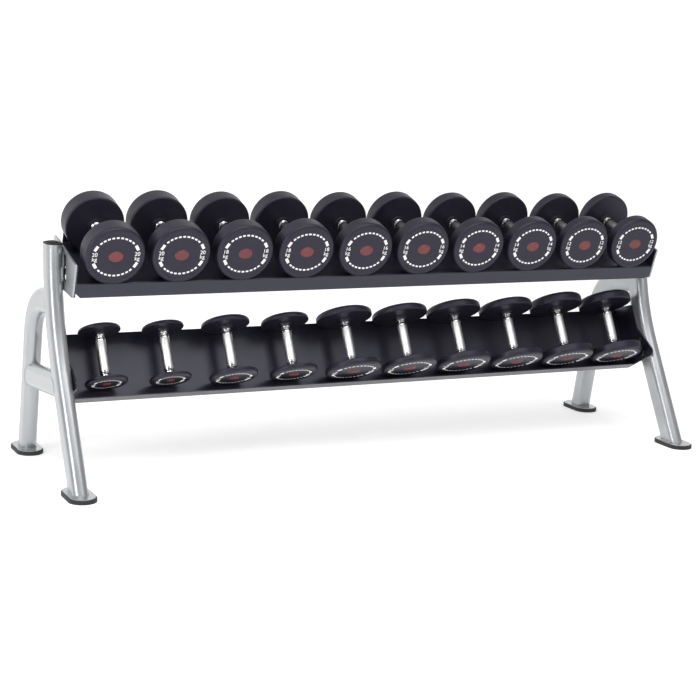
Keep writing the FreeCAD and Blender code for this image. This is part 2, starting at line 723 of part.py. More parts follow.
export("foot_plates", foot_plates())
export("foot_pads", foot_pads())
export("leg_caps", leg_caps())
export("upper_tray", [upper_tray()])
export("lower_tray", [lower_tray()])
export("tray_bolts", tray_bolts())
export("bolt_washers", bolt_washers())
export("threaded_inserts", threaded_inserts())
tier("upper", UPPER, UPPER_PAIRS, 0.0, UPPER_FLANGE)
tier("lower", LOWER, LOWER_PAIRS, LOWER_ROW_CENTRE, SHEET)
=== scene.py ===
# %% [markdown]
# # A two-tier dumbbell rack
# The rack stands on four rubber feet. Two silver A-shaped end frames carry two long
# black trays, and ten rubber-headed dumbbells lie on each tray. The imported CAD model
# gives every size and place, and this script adds finishes, printed markings, grips,
# weld seams and the light.

# %% Load the frame
import bmesh
import bpy
import json
import math
from mathutils import Euler, Matrix, Vector


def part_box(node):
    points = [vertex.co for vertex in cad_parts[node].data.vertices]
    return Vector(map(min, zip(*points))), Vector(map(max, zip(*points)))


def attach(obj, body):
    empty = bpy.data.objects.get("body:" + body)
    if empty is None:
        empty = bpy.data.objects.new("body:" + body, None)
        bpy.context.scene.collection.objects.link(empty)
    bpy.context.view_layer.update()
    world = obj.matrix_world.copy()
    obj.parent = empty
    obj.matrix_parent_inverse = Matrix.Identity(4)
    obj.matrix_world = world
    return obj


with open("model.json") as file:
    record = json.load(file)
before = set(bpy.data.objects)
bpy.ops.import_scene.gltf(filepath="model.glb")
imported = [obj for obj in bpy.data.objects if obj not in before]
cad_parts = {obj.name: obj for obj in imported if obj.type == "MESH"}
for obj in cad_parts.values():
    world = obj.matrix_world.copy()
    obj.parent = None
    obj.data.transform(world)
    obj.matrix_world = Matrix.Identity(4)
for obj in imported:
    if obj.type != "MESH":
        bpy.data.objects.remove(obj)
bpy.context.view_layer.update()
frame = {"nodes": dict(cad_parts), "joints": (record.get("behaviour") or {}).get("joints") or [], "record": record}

# %% [markdown]
# ## Where each dumbbell lies
# A dumbbell has no place of its own: it lies where its tray's slope puts it. The joint
# that lifts it off is square to the tray, so its axis gives the tilt, and the vertices
# of its heads give its length, its radius and its middle.

# %% Measure the dumbbells
GRIP_LENGTH = 0.146            # between the heads
FACE_DISH = 0.0012             # depth of the dish in an end face


class Bell:
    """Place and size of one dumbbell, read from the frame."""

    def __init__(self, joint):
        self.body = joint["child"]
        normal = Vector(joint["axis"]).normalized()
        along = Vector((1, 0, 0)).cross(normal)
        self.axis = along if along.y > 0 else -along
        self.tilt = math.atan2(self.axis.z, self.axis.y)
        heads = frame["nodes"][self.body + "_heads"].data
        reach = [v.co.dot(self.axis) for v in heads.vertices]
        low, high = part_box(self.body + "_heads")
        self.middle = (low + high) / 2
        self.half = (max(reach) - min(reach)) / 2
        self.radius = (high.x - low.x) / 2
        self.thick = self.half - GRIP_LENGTH / 2


bells = [Bell(joint) for joint in frame["joints"]]
for bell in bells[::5]:
    print(bell.body, "tilt", round(math.degrees(bell.tilt), 1), "radius", round(bell.radius, 4),
          "thick", round(bell.thick, 4))

# %% [markdown]
# ## Camera
# The view is from the front left, a little above the upper tray, with a long lens.

# %% Camera
LENS_PER_WIDTH = 1638 / 700
CAMERA_PLACE = Vector((-2.260, -4.476, 1.283))
YAW, PITCH_DOWN, ROLL = (math.radians(v) for v in (26.22, 10.98, 2.28))

ahead = Vector((math.sin(YAW) * math.cos(PITCH_DOWN), math.cos(YAW) * math.cos(PITCH_DOWN),
                -math.sin(PITCH_DOWN)))
level = Vector((math.cos(YAW), -math.sin(YAW), 0))
upright = level.cross(ahead)
right = level * math.cos(ROLL) + upright * math.sin(ROLL)
up = upright * math.cos(ROLL) - level * math.sin(ROLL)
turn = Matrix((right, up, -ahead)).transposed()
camera = bpy.data.objects.new("camera", bpy.data.cameras.new("camera"))
camera.data.sensor_width = 36
camera.data.lens = 36 * LENS_PER_WIDTH
camera.matrix_world = Matrix.Translation(CAMERA_PLACE) @ turn.to_4x4()
bpy.context.scene.collection.objects.link(camera)
bpy.context.scene.camera = camera
print("lens", round(camera.data.lens, 2), "mm")

# %% [markdown]
# ## Building shader trees
# Each finish below is a small node tree. These two helpers add a node with its plain
# values set and join sockets, so the cells that follow read as recipes.

# %% Shader helpers


class Tree:
    """A node tree that is built by naming each node's type, values and inputs."""

    def __init__(self, tree):
        self.tree = tree

    def add(self, kind, inputs=None, **values):
        node = self.tree.nodes.new(kind)
        for key, value in values.items():
            setattr(node, key, value)
        for key, value in (inputs or {}).items():
            if isinstance(value, bpy.types.NodeSocket):
                self.tree.links.new(value, node.inputs[key])
            else:
                node.inputs[key].default_value = value
        return node

    def math(self, operation, a, b=0.0, clamp=False):
        node = self.add("ShaderNodeMath", {0: a, 1: b}, operation=operation, use_clamp=clamp)
        return node.outputs[0]

    def noise(self, place, scale, detail=4.0, rough=0.6):
        node = self.add("ShaderNodeTexNoise", {"Vector": place, "Scale": scale, "Detail": detail,
                                               "Roughness": rough})
        return node.outputs["Fac"]

    def span(self, value, low, high, to_low=0.0, to_high=1.0):
        node = self.add("ShaderNodeMapRange", {0: value, 1: low, 2: high, 3: to_low, 4: to_high})
        return node.outputs[0]

    def mix(self, share, a, b):
        node = self.add("ShaderNodeMix", data_type="RGBA")
        for index, value in ((0, share), (6, a), (7, b)):
            if isinstance(value, bpy.types.NodeSocket):
                self.tree.links.new(value, node.inputs[index])
            else:
                node.inputs[index].default_value = value
        return node.outputs[2]


def new_group(name, inputs, outputs):
    """A shader group with named inputs, each (name, kind, default)."""
    group = bpy.data.node_groups.new(name, "ShaderNodeTree")
    for label, kind, default in inputs:
        socket = group.interface.new_socket(label, in_out="INPUT", socket_type=kind)
        if default is not None:
            socket.default_value = default
    for label, kind in outputs:
        group.interface.new_socket(label, in_out="OUTPUT", socket_type=kind)
    given = group.nodes.new("NodeGroupInput").outputs
    return group, Tree(group), given, group.nodes.new("NodeGroupOutput")


def grey(value, warm=0.0):
    return (value * (1 + warm), value, value * (1 - warm), 1.0)


print("helpers ready")

# %% [markdown]
# ## Grain, wear and dust
# Three effects turn up on many surfaces, so each is a group with its strengths as
# inputs. Powder coat and moulded rubber both have a fine pebbled surface. Edges that are
# knocked lose some colour and turn smoother or paler. Dust settles on faces that look up.

# %% Shared effect groups
FLOAT, COLOUR, VECTOR = "NodeSocketFloat", "NodeSocketColor", "NodeSocketVector"

grain_group, g, given, out = new_group(
    "Surface grain",
    [("Scale", FLOAT, 600.0), ("Fine depth", FLOAT, 0.15), ("Broad depth", FLOAT, 0.05),
     ("Roughness", FLOAT, 0.4), ("Roughness spread", FLOAT, 0.08)],
    [("Normal", VECTOR), ("Roughness", FLOAT), ("Mottle", FLOAT)])
place = g.add("ShaderNodeTexCoord").outputs["Object"]
fine = g.noise(place, given["Scale"], 2.0)
broad = g.noise(place, g.math("MULTIPLY", given["Scale"], 0.06), 3.0)
mottle = g.noise(place, 9.0, 5.0)
bump = g.add("ShaderNodeBump", {"Strength": given["Broad depth"], "Distance": 0.002,
                                "Height": broad})
bump = g.add("ShaderNodeBump", {"Strength": given["Fine depth"], "Distance": 0.0004,
                                "Height": fine, "Normal": bump.outputs[0]})
swing = g.math("MULTIPLY", g.span(mottle, 0.3, 0.7, -1.0, 1.0), given["Roughness spread"])
g.tree.links.new(bump.outputs[0], out.inputs["Normal"])
g.tree.links.new(g.math("ADD", given["Roughness"], swing), out.inputs["Roughness"])
g.tree.links.new(mottle, out.inputs["Mottle"])

edge_group, g, given, out = new_group(
    "Edge wear",
    [("Width", FLOAT, 0.0015), ("Amount", FLOAT, 0.5), ("Break-up scale", FLOAT, 60.0)],
    [("Mask", FLOAT)])
normal = g.add("ShaderNodeNewGeometry").outputs["Normal"]
rounded = g.add("ShaderNodeBevel", {"Radius": given["Width"]}, samples=4).outputs[0]
facing = g.add("ShaderNodeVectorMath", {0: normal, 1: rounded}, operation="DOT_PRODUCT")
edge = g.span(facing.outputs["Value"], 0.995, 0.9)
place = g.add("ShaderNodeTexCoord").outputs["Object"]
broken = g.span(g.noise(place, given["Break-up scale"], 6.0), 0.35, 0.65)
mask = g.math("MULTIPLY", g.math("MULTIPLY", edge, broken), given["Amount"], clamp=True)
g.tree.links.new(mask, out.inputs["Mask"])

dust_group, g, given, out = new_group(
    "Settled dust",
    [("Colour", COLOUR, grey(0.1)), ("Amount", FLOAT, 0.1),
     ("Dust colour", COLOUR, grey(0.5, 0.03))],
    [("Colour", COLOUR), ("Mask", FLOAT)])
normal = g.add("ShaderNodeNewGeometry").outputs["Normal"]
upward = g.add("ShaderNodeSeparateXYZ", {0: normal}).outputs["Z"]
place = g.add("ShaderNodeTexCoord").outputs["Object"]
patches = g.span(g.noise(place, 25.0, 6.0), 0.3, 0.75)
share = g.math("MULTIPLY", g.span(upward, 0.2, 1.0), patches)
share = g.math("MULTIPLY", share, given["Amount"], clamp=True)
g.tree.links.new(g.mix(share, given["Colour"], given["Dust colour"]), out.inputs["Colour"])
g.tree.links.new(share, out.inputs["Mask"])
print("groups", [group.name for group in bpy.data.node_groups])

# %% [markdown]
# ## One recipe for coated and moulded surfaces
# A coated tube, a painted tray and a rubber head differ in colour, shine and grain but
# are made up the same way: a base colour that drifts a little, paler or darker edges, a
# film of dust, and a pebbled surface. The recipe takes those differences as values.

# %% Coated and moulded finishes


def group_node(tree, group, **inputs):
    node = tree.tree.nodes.new("ShaderNodeGroup")
    node.node_tree = group
    for key, value in inputs.items():
        socket = node.inputs[key.replace("_", " ")]
        if isinstance(value, bpy.types.NodeSocket):
            tree.tree.links.new(value, socket)
        else:
            socket.default_value = value
    return node.outputs


def finish(name, base, drift, worn, wear=0.4, edge_width=0.0015, dust=0.05, scale=600.0,
           fine=0.15, broad=0.05, rough=0.4, spread=0.08, **shader):
    """A procedural finish; base, drift and worn are the main, second and edge colours."""
    material = bpy.data.materials.new(name)
    material.use_nodes = True
    tree = Tree(material.node_tree)
    principled = material.node_tree.nodes["Principled BSDF"]
    grain = group_node(tree, grain_group, Scale=scale, Fine_depth=fine, Broad_depth=broad,
                       Roughness=rough, Roughness_spread=spread)
    edge = group_node(tree, edge_group, Width=edge_width, Amount=wear)
    colour = tree.mix(tree.span(grain["Mottle"], 0.35, 0.65), base, drift)
    colour = tree.mix(edge["Mask"], colour, worn)
    dusty = group_node(tree, dust_group, Colour=colour, Amount=dust)
    tree.tree.links.new(dusty["Colour"], principled.inputs["Base Color"])
    tree.tree.links.new(grain["Normal"], principled.inputs["Normal"])
    rougher = tree.math("ADD", grain["Roughness"], tree.math("MULTIPLY", dusty["Mask"], 0.3))
    tree.tree.links.new(rougher, principled.inputs["Roughness"])
    for key, value in shader.items():
        principled.inputs[key.replace("_", " ")].default_value = value
    return material


silver = finish("Silver powder coat", grey(0.41, -0.04), grey(0.45, -0.03), grey(0.68), wear=0.35,
                scale=900, fine=0.18, broad=0.05, rough=0.32, spread=0.04, dust=0.03,
                Metallic=0.7, Coat_Weight=0.35, Coat_Roughness=0.15)
black = finish("Black powder coat", (0.0085, 0.0078, 0.0165, 1), (0.0120, 0.0110, 0.0215, 1),
               (0.060, 0.057, 0.080, 1), wear=0.5, scale=900, fine=0.15, broad=0.06, rough=0.36,
               spread=0.05, dust=0.02, Coat_Weight=0.35, Coat_Roughness=0.26,
               Specular_Tint=(0.80, 0.80, 1.0, 1))
rubber = finish("Head rubber", (0.0085, 0.0078, 0.0150, 1), (0.0120, 0.0110, 0.0190, 1),
                (0.055, 0.052, 0.072, 1), wear=0.6, edge_width=0.003, scale=420, fine=0.30,
                broad=0.10, rough=0.42, spread=0.06, dust=0.02,
                Specular_Tint=(0.82, 0.80, 1.0, 1))
foot_rubber = finish("Foot rubber", grey(0.012), grey(0.018), grey(0.05), wear=0.5, scale=500,
                     fine=0.4, broad=0.15, rough=0.62, dust=0.2)
cap_plastic = finish("Cap plastic", grey(0.012), grey(0.018), grey(0.05), wear=0.3, scale=700,
                     fine=0.2, broad=0.05, rough=0.65, dust=0.02, Specular_IOR_Level=0.25)
bolt_steel = finish("Black bolt steel", grey(0.03), grey(0.05), grey(0.3), wear=0.8, scale=300,
                    fine=0.1, broad=0.05, rough=0.35, dust=0.03, Metallic=0.9)
zinc = finish("Zinc plate", grey(0.6), grey(0.5, 0.03), grey(0.7), wear=0.3, scale=200,
              fine=0.1, broad=0.1, rough=0.3, dust=0.02, Metallic=1.0)
print("finishes", [m.name for m in bpy.data.materials])

# %% [markdown]
# ## Chrome with a knurled grip
# The grip is turned steel, rolled with a diamond knurl and then chromed, so its ends
# stay mirror-bright while its middle scatters light. The knurl comes from two sets of
# crossing spiral ridges, worked out from a place stored on the grip's mesh.

# %% Chrome finishes
chrome = finish("Bright chrome", grey(0.88), grey(0.84), grey(0.92), wear=0.1, scale=150,
                fine=0.02, broad=0.02, rough=0.18, spread=0.04, dust=0.02, Metallic=1.0)

KNURL_STARTS = 36
KNURL_PITCH = 0.0026
KNURL_HALF_LENGTH = 0.044
KNURL_FADE = 0.001

knurled = bpy.data.materials.new("Knurled chrome")
knurled.use_nodes = True
k = Tree(knurled.node_tree)
spot = k.add("ShaderNodeAttribute", attribute_name="turned_place").outputs["Vector"]
spot = k.add("ShaderNodeSeparateXYZ", {0: spot}).outputs
angle = k.math("ARCTAN2", spot["Y"], spot["X"])
around = k.math("MULTIPLY", angle, KNURL_STARTS)
along = k.math("MULTIPLY", spot["Z"], 2 * math.pi / KNURL_PITCH)
forth = k.math("MULTIPLY", k.math("ADD", around, along), 0.5)
one = k.math("ABSOLUTE", k.math("SINE", forth))
back = k.math("MULTIPLY", k.math("SUBTRACT", around, along), 0.5)
two = k.math("ABSOLUTE", k.math("SINE", back))
band = k.span(k.math("ABSOLUTE", spot["Z"]), KNURL_HALF_LENGTH + KNURL_FADE, KNURL_HALF_LENGTH)
height = k.math("MULTIPLY", k.math("MULTIPLY", one, two), band)
grain = group_node(k, grain_group, Scale=150.0, Fine_depth=0.02, Broad_depth=0.02,
                   Roughness=0.18, Roughness_spread=0.04)
ridges = k.add("ShaderNodeBump", {"Strength": 0.35, "Distance": 0.0005, "Height": height,
                                  "Normal": grain["Normal"]})
steel = knurled.node_tree.nodes["Principled BSDF"]
steel.inputs["Metallic"].default_value = 1.0
# Painted shade: within the knurl the grooves are coloured darker than the ridge tops.
k.tree.links.new(k.mix(height, grey(0.68), grey(0.92)), steel.inputs["Base Color"])
k.tree.links.new(ridges.outputs[0], steel.inputs["Normal"])
k.tree.links.new(k.math("ADD", grain["Roughness"], k.math("MULTIPLY", band, 0.12)),
                 steel.inputs["Roughness"])
print("knurl", KNURL_STARTS, "starts")

# %% [markdown]
# ## Printed ink and the enamelled badge
# The markings on an end face are thick white ink, slightly uneven where the rubber's grain shows through, and
# given a faint painted glow so that they stay white. The plain badge in the middle is red enamel.

# %% Ink and enamel
# The emission is painted light: the white ink glows faintly so that it stays white.
ink = finish("White ink with painted glow", grey(0.90), grey(0.82, 0.01), grey(0.75), wear=0.3, edge_width=0.0006,
             scale=800, fine=0.25, broad=0.1, rough=0.45, dust=0.03,
             Emission_Color=grey(1.0), Emission_Strength=0.10)
enamel = finish("Red enamel", (0.16, 0.015, 0.018, 1), (0.12, 0.013, 0.015, 1),
                (0.28, 0.07, 0.06, 1), wear=0.5, edge_width=0.0008, scale=500, fine=0.15,
                broad=0.08, rough=0.34, dust=0.04, Coat_Weight=0.3)
print("ink and enamel ready")

# %% [markdown]
# ## Finishes on the CAD pieces
# Every CAD node keeps its shape and takes the finish of its record slot.

# %% Assign the finishes
FINISH_OF_SLOT = {"frame_silver": silver, "tray_black": black, "head_rubber": rubber,
                  "grip_chrome": chrome, "foot_rubber": foot_rubber, "cap_plastic": cap_plastic,
                  "bolt_black_steel": bolt_steel, "insert_steel": zinc}
for piece in frame["record"]["subparts"]:
    mesh = frame["nodes"][piece["node"]].data
    mesh.materials.clear()
    mesh.materials.append(FINISH_OF_SLOT[piece["material_slot"]])

# %% [markdown]
# ## Building pieces with Geometry Nodes
# Repeated marks, turned shapes and seams that follow a rule are grown by node trees.
# Each tree takes its sizes as named inputs. The result is read off the evaluated
# object as a plain mesh, and the modifier is left behind.

# %% Geometry helpers


def new_geometry_tree(name, inputs):
    """A geometry tree with named inputs, each (name, socket kind)."""
    group = bpy.data.node_groups.new(name, "GeometryNodeTree")
    group.interface.new_socket("Geometry", in_out="INPUT", socket_type="NodeSocketGeometry")
    for label, kind in inputs:
        group.interface.new_socket(label, in_out="INPUT", socket_type=kind)
    group.interface.new_socket("Geometry", in_out="OUTPUT", socket_type="NodeSocketGeometry")
    return Tree(group), group.nodes.new("NodeGroupInput").outputs


def close_tree(tree, geometry):
    realized = tree.add("GeometryNodeRealizeInstances", {"Geometry": geometry})
    end = tree.tree.nodes.new("NodeGroupOutput")
    tree.tree.links.new(realized.outputs[0], end.inputs[0])


def grow(name, tree, values, source=None):
    """Runs a geometry tree with these input values and returns its result as an object."""
    holder = bpy.data.objects.new(name + "_holder", source or bpy.data.meshes.new(name))
    bpy.context.scene.collection.objects.link(holder)
    modifier = holder.modifiers.new("grow", "NODES")
    modifier.node_group = tree.tree
    sockets = {item.name: item.identifier for item in tree.tree.interface.items_tree
               if item.item_type == "SOCKET" and item.in_out == "INPUT"}
    for label, value in values.items():
        modifier[sockets[label]] = value
    holder.update_tag()
    evaluated = holder.evaluated_get(bpy.context.evaluated_depsgraph_get())
    mesh = bpy.data.meshes.new_from_object(evaluated)
    mesh.name = name
    bpy.data.objects.remove(holder)
    piece = bpy.data.objects.new(name, mesh)
    bpy.context.scene.collection.objects.link(piece)
    return piece


def joined(tree, *geometries):
    node = tree.tree.nodes.new("GeometryNodeJoinGeometry")
    for geometry in reversed(geometries):
        tree.tree.links.new(geometry, node.inputs[0])
    return node.outputs[0]


def coloured(tree, geometry, material):
    return tree.add("GeometryNodeSetMaterial", {"Geometry": geometry,
                                                "Material": material}).outputs[0]


def moved(tree, geometry, shift=(0, 0, 0), turn=(0, 0, 0), size=(1, 1, 1)):
    return tree.add("GeometryNodeTransform", {"Geometry": geometry, "Translation": shift,
                                              "Rotation": turn, "Scale": size}).outputs[0]


print("geometry helpers ready")

# %% [markdown]
# ## Markings on the end faces
# An oval ring of dashes runs round a plain badge, and the weight stands in the ring's
# left and right ends, a number over its unit. On the real thing this is one pad print
# per face. The dashes are copies of one small bar, stood on the points of an arc and
# turned to follow it, so the ring fits any head by its two half-widths.

# %% Label tree
INK_THICK = 0.0004
BADGE_THICK = 0.0010
ARC_DASHES = 9
ARC_HALF_ANGLE = math.radians(44)
CORNER_ANGLE = math.radians(63)
CORNER_DASH = (2.1, 1.75)      # length and width, against an ordinary dash
NUMBER_PLACE = 0.93            # of the ring's half-width
LINE_RISE = 0.42               # each line above or below the middle, against its size
BADGE_SIZE = (0.32, 0.28)      # half-width and half-height, against the ring's
BADGE_STEP_SIZE = (0.72, 0.66)  # raised middle, against the badge
BADGE_STEP = 0.9               # height at which it starts, against the thickness
BADGE_TAPER = 0.93
BADGE_SIDES = 48

label, given = new_geometry_tree("End face label", [
    ("Half width", FLOAT), ("Half height", FLOAT), ("Dash length", FLOAT),
    ("Dash width", FLOAT), ("Number", "NodeSocketString"), ("Number size", FLOAT),
    ("Front place", VECTOR), ("Front turn", "NodeSocketRotation"),
    ("Back place", VECTOR), ("Back turn", "NodeSocketRotation")])


def dash_arc(tree, start_angle, end_angle, count, length, width):
    """Bars on an elliptical arc; angles are from +Y, clockwise."""
    line = tree.add("GeometryNodeMeshLine", {"Count": count, "Start Location": (0, 0, 0),
                                             "Offset": (0, 0, 0)})
    index = tree.add("GeometryNodeInputIndex").outputs[0]
    step = (end_angle - start_angle) / (count - 1)
    angle = tree.math("ADD", tree.math("MULTIPLY", index, step), start_angle)
    x = tree.math("MULTIPLY", tree.math("SINE", angle), given["Half width"])
    y = tree.math("MULTIPLY", tree.math("COSINE", angle), given["Half height"])
    place = tree.add("ShaderNodeCombineXYZ", {"X": x, "Y": y}).outputs[0]
    bowed = tree.add("GeometryNodeSetPosition", {"Geometry": line.outputs[0], "Position": place})
    slope_x = tree.math("MULTIPLY", tree.math("COSINE", angle), given["Half width"])
    slope_y = tree.math("MULTIPLY", tree.math("SINE", angle), given["Half height"])
    heading = tree.math("ARCTAN2", tree.math("MULTIPLY", slope_y, -1.0), slope_x)
    facing = tree.add("ShaderNodeCombineXYZ", {"Z": heading}).outputs[0]
    size = tree.add("ShaderNodeCombineXYZ", {"X": length, "Y": width,
                                             "Z": INK_THICK}).outputs[0]
    bar = tree.add("GeometryNodeMeshCube", {"Size": size}).outputs[0]
    return tree.add("GeometryNodeInstanceOnPoints", {
        "Points": bowed.outputs[0], "Instance": bar, "Rotation": facing}).outputs[0]


def printed(tree, text, size, shift):
    """Flat lettering with thickness, closed on every side."""
    curves = tree.add("GeometryNodeStringToCurves", {"String": text, "Size": size},
                      align_x="CENTER", align_y="MIDDLE").outputs[0]
    flat = tree.add("GeometryNodeFillCurve", {0: curves}).outputs[0]
    flat = tree.add("GeometryNodeRealizeInstances", {0: flat}).outputs[0]
    raised = tree.add("GeometryNodeExtrudeMesh", {"Mesh": flat, "Offset Scale": INK_THICK,
                                                  "Individual": False}).outputs[0]
    under = tree.add("GeometryNodeFlipFaces", {0: flat}).outputs[0]
    closed = tree.add("GeometryNodeMergeByDistance", {0: joined(tree, raised, under),
                                                      "Distance": 0.00002}).outputs[0]
    return moved(tree, closed, shift)


dash = given["Dash length"]
width = given["Dash width"]
long_dash = label.math("MULTIPLY", dash, CORNER_DASH[0])
wide_dash = label.math("MULTIPLY", width, CORNER_DASH[1])
top = dash_arc(label, -ARC_HALF_ANGLE, ARC_HALF_ANGLE, ARC_DASHES, dash, width)
bottom = dash_arc(label, math.pi - ARC_HALF_ANGLE, math.pi + ARC_HALF_ANGLE, ARC_DASHES, dash,
                  width)
corners = [dash_arc(label, sign * CORNER_ANGLE, math.pi - sign * CORNER_ANGLE, 2, long_dash,
                    wide_dash) for sign in (1, -1)]
side_x = label.math("MULTIPLY", given["Half width"], NUMBER_PLACE)
line_rise = label.math("MULTIPLY", given["Number size"], LINE_RISE)
marks = [top, bottom] + corners
for sign in (-1, 1):
    x = label.math("MULTIPLY", side_x, sign)
    for text, way in ((given["Number"], 1.0), ("kg", -1.0)):
        y = label.math("MULTIPLY", line_rise, way)
        shift = label.add("ShaderNodeCombineXYZ", {"X": x, "Y": y}).outputs[0]
        marks.append(printed(label, text, given["Number size"], shift))
white = coloured(label, joined(label, *marks), ink)
disc = label.add("GeometryNodeMeshCone", {
    "Vertices": BADGE_SIDES, "Radius Top": BADGE_TAPER, "Radius Bottom": 1.0,
    "Depth": 1.0}).outputs[0]
wide = label.math("MULTIPLY", given["Half width"], BADGE_SIZE[0])
tall = label.math("MULTIPLY", given["Half height"], BADGE_SIZE[1])
size = label.add("ShaderNodeCombineXYZ", {"X": wide, "Y": tall, "Z": BADGE_THICK}).outputs[0]
inner_size = label.add("ShaderNodeCombineXYZ", {
    "X": label.math("MULTIPLY", wide, BADGE_STEP_SIZE[0]),
    "Y": label.math("MULTIPLY", tall, BADGE_STEP_SIZE[1]), "Z": BADGE_THICK}).outputs[0]
badge = joined(label, moved(label, disc, size=size),
               moved(label, disc, (0, 0, BADGE_THICK * BADGE_STEP), size=inner_size))
red = coloured(label, badge, enamel)
face = joined(label, white, red)
front = label.add("GeometryNodeTransform", {0: face, "Translation": given["Front place"],
                                            "Rotation": given["Front turn"]}).outputs[0]
back = label.add("GeometryNodeTransform", {0: face, "Translation": given["Back place"],
                                           "Rotation": given["Back turn"]}).outputs[0]
close_tree(label, joined(label, front, back))
print("label tree", len(label.tree.nodes), "nodes")

# %% Print the labels
WEIGHTS = {"upper": (20, 18, 16, 14, 12), "lower": (2, 4, 6, 8, 10)}
RING_INSET = 0.021             # from the head's side to the ring's ends
RING_HEIGHT_SHARE = 0.87       # height of the ring, against its width
DASH_SHARE = (0.090, 0.055)    # length and width of a dash, against the head's radius
NUMBER_SHARE = 0.19

for bell in bells:
    tier = "upper" if "upper" in bell.body else "lower"
    number = str(WEIGHTS[tier][(int(bell.body[-2:]) - 1) // 2])
    ring = bell.radius - RING_INSET
    reach = bell.axis * (bell.half - FACE_DISH)
    piece = grow("label_" + bell.body[9:], label, {
        "Half width": ring, "Half height": ring * RING_HEIGHT_SHARE,
        "Dash length": bell.radius * DASH_SHARE[0], "Dash width": bell.radius * DASH_SHARE[1],
        "Number": number, "Number size": bell.radius * NUMBER_SHARE,
        "Front place": bell.middle - reach, "Back place": bell.middle + reach,
        "Front turn": Euler((math.pi / 2 + bell.tilt, 0, 0)),
        "Back turn": Euler((math.pi / 2 - bell.tilt, 0, math.pi))})
    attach(piece, bell.body)
print("last label has", len(piece.data.polygons), "faces")

# %% [markdown]
# ## Knurled grips
# The steel between the collars swells slightly in the middle to fill the hand. It is a
# line with a radius that follows a parabola, swept with a circle, which is how a lathe
# makes it. Its place before it is laid on the tray is stored for the knurl.

# %% Grip tree
GRIP_STATIONS = 25
GRIP_ROUND = 64

grip, given = new_geometry_tree("Knurled grip", [
    ("Length", FLOAT), ("End radius", FLOAT), ("Middle radius", FLOAT),
    ("Place", VECTOR), ("Turn", "NodeSocketRotation")])
half_length = grip.math("MULTIPLY", given["Length"], 0.5)
mesh = grip.add("GeometryNodeMeshCylinder", {
    "Vertices": GRIP_ROUND, "Side Segments": GRIP_STATIONS, "Fill Segments": 1, "Radius": 1.0,
    "Depth": given["Length"]}).outputs[0]
spot = grip.add("GeometryNodeInputPosition").outputs[0]
parts = grip.add("ShaderNodeSeparateXYZ", {0: spot}).outputs
share = grip.math("DIVIDE", parts["Z"], half_length)
swell = grip.math("SUBTRACT", 1.0, grip.math("MULTIPLY", share, share))
extra = grip.math("SUBTRACT", given["Middle radius"], given["End radius"])
radius = grip.math("ADD", given["End radius"], grip.math("MULTIPLY", extra, swell))
shaped = grip.add("ShaderNodeCombineXYZ", {
    "X": grip.math("MULTIPLY", parts["X"], radius),
    "Y": grip.math("MULTIPLY", parts["Y"], radius), "Z": parts["Z"]}).outputs[0]
mesh = grip.add("GeometryNodeSetPosition", {"Geometry": mesh, "Position": shaped}).outputs[0]
spot = grip.add("GeometryNodeInputPosition").outputs[0]
mesh = grip.add("GeometryNodeStoreNamedAttribute", {"Geometry": mesh, "Name": "turned_place",
                                                    "Value": spot},
                data_type="FLOAT_VECTOR", domain="POINT").outputs[0]
mesh = grip.add("GeometryNodeTransform", {0: mesh, "Translation": given["Place"],
                                          "Rotation": given["Turn"]}).outputs[0]
mesh = grip.add("GeometryNodeSetShadeSmooth", {"Geometry": mesh}).outputs[0]
close_tree(grip, coloured(grip, mesh, knurled))
print("grip tree", len(grip.tree.nodes), "nodes")

# %% Turn the grips
GRIP_SIZES = {"Length": 0.106, "End radius": 0.01480, "Middle radius": 0.01580}

for bell in bells:
    values = dict(GRIP_SIZES, Place=bell.middle, Turn=Euler((bell.tilt - math.pi / 2, 0, 0)))
    piece = grow("grip_" + bell.body[9:], grip, values)
    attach(piece, bell.body)
print("last grip has", len(piece.data.polygons), "faces")

# %% [markdown]
# ## Weld seams
# The tubes are welded where they meet and where they stand on the foot plates. A seam is
# a row of overlapping beads laid along the cut rim of a tube, then coated with the
# frame. The rims come from the CAD meshes: they are their longest sharp loops.

# %% Find the cut rims
SHARP = math.radians(35)
FOOT_ZONE = 0.1                # a front leg's only weld seams are this near the floor


def sharp_loops(node, count):
    """The longest loops of sharp edges on a CAD node, each as a list of points."""
    net = bmesh.new()
    net.from_mesh(frame["nodes"][node].data)
    bmesh.ops.remove_doubles(net, verts=net.verts, dist=0.00001)
    sharp = {e for e in net.edges if len(e.link_faces) == 2 and e.calc_face_angle(0) > SHARP}
    loops = []
    while sharp:
        first = sharp.pop()
        chain = [first.verts[0], first.verts[1]]
        grown = True
        while grown:
            grown = False
            for edge in chain[-1].link_edges:
                if edge in sharp:
                    sharp.remove(edge)
                    chain.append(edge.other_vert(chain[-1]))
                    grown = True
                    break
        points = [v.co.copy() for v in chain]
        length = sum((b - a).length for a, b in zip(points, points[1:]))
        loops.append((length, points))
    net.free()
    loops.sort(key=lambda loop: loop[0], reverse=True)
    return [points for _, points in loops[:count]]


seams = []
for side in ("left", "right"):
    for node, count in (("_front_leg", 2), ("_rear_leg", 2), ("_cross_brace", 2)):
        loops = sharp_loops(side + node, count)
        if node == "_front_leg":
            loops = [loop for loop in loops if max(p.z for p in loop) < FOOT_ZONE]
        seams += loops
print("seams", [(len(loop), round(sum((b - a).length for a, b in zip(loop, loop[1:])), 3))
                for loop in seams])

